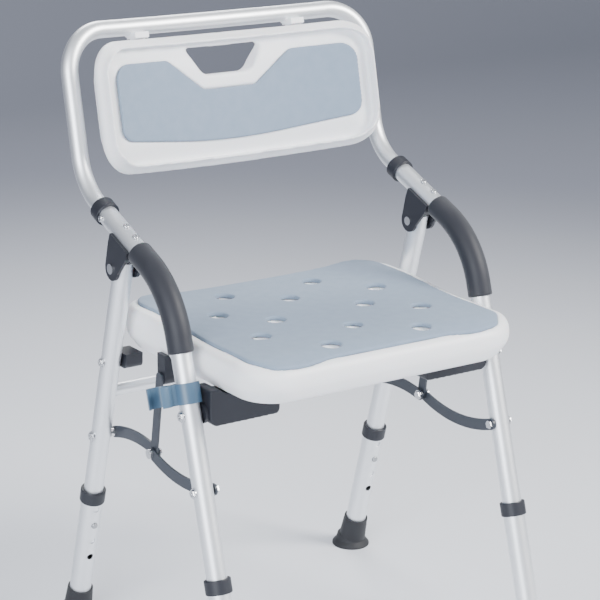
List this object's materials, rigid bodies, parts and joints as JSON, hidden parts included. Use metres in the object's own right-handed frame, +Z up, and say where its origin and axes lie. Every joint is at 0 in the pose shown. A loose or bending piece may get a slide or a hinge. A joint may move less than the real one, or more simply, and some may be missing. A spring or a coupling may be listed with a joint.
{
  "type": "shower chair",
  "caption": "Folding aluminium shower chair: armrests, hooped backrest, blow-moulded seat and back with soft pads, height-adjustable legs with rubber feet and a hand-shower clip.",
  "frame": {"origin": "bottom centre of the whole chair's bounding box, on the floor", "axes": "+Z up, the sitter faces -Y, +X is the right-hand side seen from the front"},
  "size_m": [0.5334, 0.5034, 0.8021],
  "materials": {
    "tube_aluminium": "satin anodised",
    "shell_plastic": "blow-moulded, fine texture",
    "pad_foam": "soft closed-cell foam, matte",
    "grip_foam": "foam sleeve, matte",
    "foot_rubber": "moulded rubber, matte",
    "black_plastic": "moulded, fine grain",
    "stay_metal": "black coated",
    "fastener_metal": "bright plated",
    "spring_steel": "plain",
    "clip_plastic": "moulded, semi-gloss"
  },
  "bodies": {
    "frame": {"back_clip_screws": "fastener_metal", "back_pad": "pad_foam", "back_shell": "shell_plastic", "backrest_hoop": "tube_aluminium", "front_button_springs": "spring_steel", "front_stay_bolts": "fastener_metal", "hinge_bracket_screws": "fastener_metal", "hinge_pins": "fastener_metal", "hoop_screws": "fastener_metal", "left_arm_grip": "grip_foam", "left_arm_leg_tube": "tube_aluminium", "left_hinge_bracket": "black_plastic", "left_hoop_collar": "black_plastic", "right_arm_grip": "grip_foam", "right_arm_leg_tube": "tube_aluminium", "right_hinge_bracket": "black_plastic", "right_hoop_collar": "black_plastic", "seat_hinge_bolts": "fastener_metal", "upper_back_clips": "shell_plastic"},
    "rear_legs": {"left_rear_leg_tube": "tube_aluminium", "right_rear_leg_tube": "tube_aluminium", "rear_cross_tube": "tube_aluminium", "rear_button_springs": "spring_steel", "left_seat_rest": "black_plastic", "right_seat_rest": "black_plastic", "seat_rest_bolts": "fastener_metal", "rear_stay_bolts": "fastener_metal"},
    "seat": {"seat_shell": "shell_plastic", "seat_pad": "pad_foam", "left_seat_bracket": "black_plastic", "right_seat_bracket": "black_plastic", "seat_bracket_screws": "fastener_metal", "strut_lugs": "black_plastic", "seat_pivot_washers": "black_plastic"},
    "front_stays": {"left_front_stay": "stay_metal", "right_front_stay": "stay_metal", "mid_stay_rivets": "fastener_metal"},
    "rear_stays": {"left_rear_stay": "stay_metal", "right_rear_stay": "stay_metal", "mid_stay_caps": "fastener_metal"},
    "struts": {"left_stay_strut": "stay_metal", "right_stay_strut": "stay_metal"},
    "holder": {"shower_holder": "clip_plastic"},
    "front_left_leg": {"front_left_lower_leg": "tube_aluminium", "front_left_leg_collar": "black_plastic", "front_left_foot": "foot_rubber"},
    "front_left_button": {"front_left_snap_button": "spring_steel"},
    "front_right_leg": {"front_right_lower_leg": "tube_aluminium", "front_right_leg_collar": "black_plastic", "front_right_foot": "foot_rubber"},
    "front_right_button": {"front_right_snap_button": "spring_steel"},
    "rear_left_leg": {"rear_left_lower_leg": "tube_aluminium", "rear_left_leg_collar": "black_plastic", "rear_left_foot": "foot_rubber"},
    "rear_left_button": {"rear_left_snap_button": "spring_steel"},
    "rear_right_leg": {"rear_right_lower_leg": "tube_aluminium", "rear_right_leg_collar": "black_plastic", "rear_right_foot": "foot_rubber"},
    "rear_right_button": {"rear_right_snap_button": "spring_steel"}
  },
  "joints": [
    {"name": "fold", "type": "hinge", "parent": "frame", "child": "rear_legs", "pos_m": [0.01115, 0.06946, 0.5265], "axis": [-1, 0, 0], "range_deg": [0, 30]},
    {"name": "seat_lift", "type": "hinge", "parent": "frame", "child": "seat", "pos_m": [0.01115, -0.09381, 0.3857], "axis": [1, 0, 0], "range_deg": [0, 68]},
    {"name": "front_stay_turn", "type": "hinge", "parent": "frame", "child": "front_stays", "pos_m": [0.01115, -0.12375, 0.2975], "axis": [1, 0, 0], "range_deg": [0, 44]},
    {"name": "rear_stay_turn", "type": "hinge", "parent": "rear_legs", "child": "rear_stays", "pos_m": [0.01115, 0.12739, 0.2852], "axis": [-1, 0, 0], "range_deg": [0, 49]},
    {"name": "strut_turn", "type": "hinge", "parent": "front_stays", "child": "struts", "pos_m": [0.01115, 0.02176, 0.293], "axis": [-1, 0, 0], "range_deg": [0, 22]},
    {"name": "front_left_height", "type": "slide", "parent": "frame", "child": "front_left_leg", "axis": [0, -0.3214, -0.9469], "range_m": [-0.0508, 0.0254], "deforming": ["front_left_snap_button"]},
    {"name": "front_left_button_press", "type": "slide", "parent": "frame", "child": "front_left_button", "axis": [0, -0.9469, 0.3214], "range_m": [0, 0.0044], "stiffness_N_per_m": 1200, "springref_m": -0.002, "deforming": ["front_button_springs"]},
    {"name": "front_right_height", "type": "slide", "parent": "frame", "child": "front_right_leg", "axis": [0, -0.3214, -0.9469], "range_m": [-0.0508, 0.0254], "deforming": ["front_right_snap_button"]},
    {"name": "front_right_button_press", "type": "slide", "parent": "frame", "child": "front_right_button", "axis": [0, -0.9469, 0.3214], "range_m": [0, 0.0044], "stiffness_N_per_m": 1200, "springref_m": -0.002, "deforming": ["front_button_springs"]},
    {"name": "rear_left_height", "type": "slide", "parent": "rear_legs", "child": "rear_left_leg", "axis": [0, 0.2334, -0.9724], "range_m": [-0.0508, 0.0254], "deforming": ["rear_left_snap_button"]},
    {"name": "rear_left_button_press", "type": "slide", "parent": "rear_legs", "child": "rear_left_button", "axis": [0, 0.9724, 0.2334], "range_m": [0, 0.0044], "stiffness_N_per_m": 1200, "springref_m": -0.002, "deforming": ["rear_button_springs"]},
    {"name": "rear_right_height", "type": "slide", "parent": "rear_legs", "child": "rear_right_leg", "axis": [0, 0.2334, -0.9724], "range_m": [-0.0508, 0.0254], "deforming": ["rear_right_snap_button"]},
    {"name": "rear_right_button_press", "type": "slide", "parent": "rear_legs", "child": "rear_right_button", "axis": [0, 0.9724, 0.2334], "range_m": [0, 0.0044], "stiffness_N_per_m": 1200, "springref_m": -0.002, "deforming": ["rear_button_springs"]},
    {"name": "holder_swivel", "type": "hinge", "parent": "frame", "child": "holder", "pos_m": [-0.21735, -0.08524, 0.41097], "axis": [0, 0.3214, 0.9469], "range_deg": [-35, 35]}
  ],
  "couplings": [
    {"joint": "seat_lift", "follows": "fold", "ratio": 2.249},
    {"joint": "front_stay_turn", "follows": "fold", "ratio": 1.436},
    {"joint": "rear_stay_turn", "follows": "fold", "ratio": 1.617},
    {"joint": "strut_turn", "follows": "fold", "ratio": 0.704}
  ]
}
